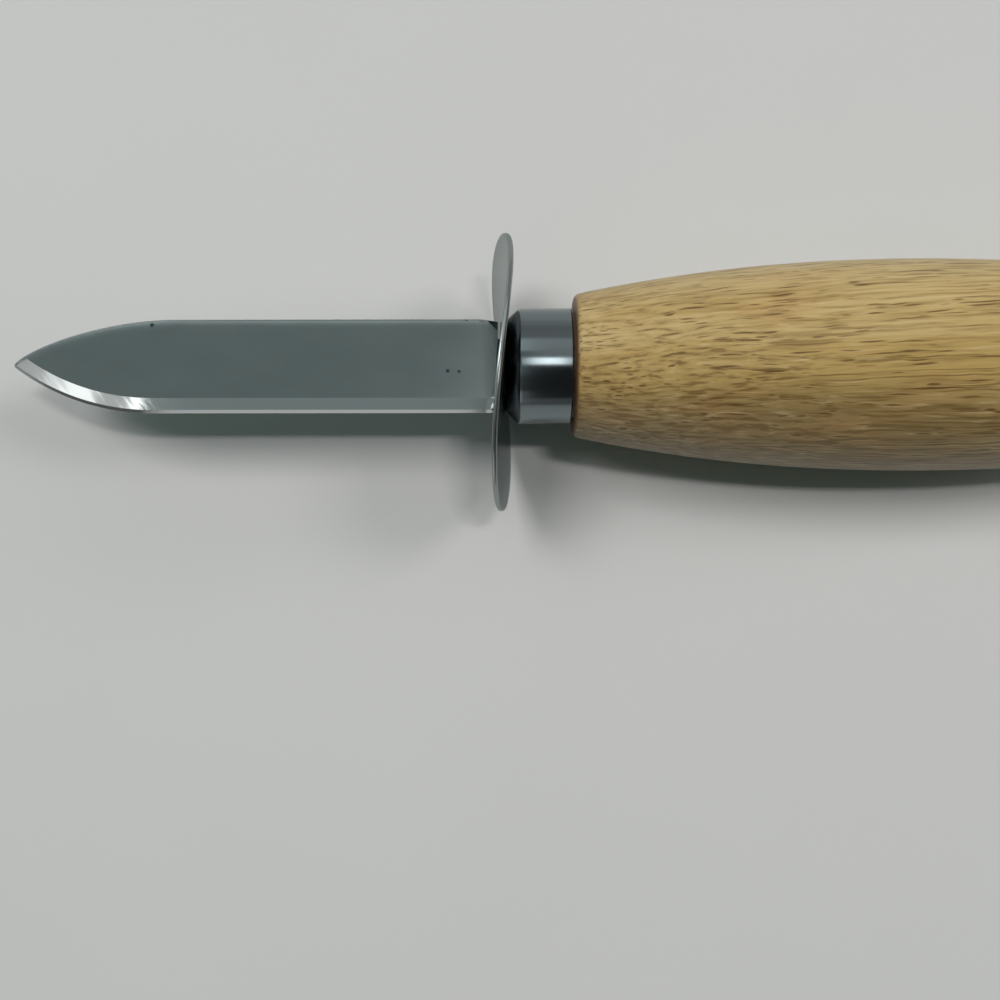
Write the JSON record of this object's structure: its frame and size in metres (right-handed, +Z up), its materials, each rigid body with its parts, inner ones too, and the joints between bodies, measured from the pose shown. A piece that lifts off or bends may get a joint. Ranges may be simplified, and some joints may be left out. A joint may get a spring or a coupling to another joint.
{
  "type": "oyster knife",
  "caption": "Short stiff oyster knife: spear blade ground along one edge, oval hand guard, steel ferrule and turned wooden barrel handle.",
  "frame": {"origin": "on the surface that the knife lies on, under the middle of its overall box", "axes": "+X from the tip to the butt, +Y from the cutting edge to the spine, +Z up, square to the flat of the blade"},
  "size_m": [0.1862, 0.0416, 0.0314],
  "materials": {
    "blade_steel": "satin stainless steel",
    "guard_steel": "bright rolled stainless sheet",
    "ferrule_steel": "polished drawn steel",
    "handle_wood": "light open-grained hardwood under thin satin lacquer",
    "cured_adhesive": "cured amber epoxy"
  },
  "bodies": {
    "root": {"blade": "blade_steel", "guard": "guard_steel", "ferrule": "ferrule_steel", "handle": "handle_wood", "tang_adhesive": "cured_adhesive"}
  },
  "joints": []
}
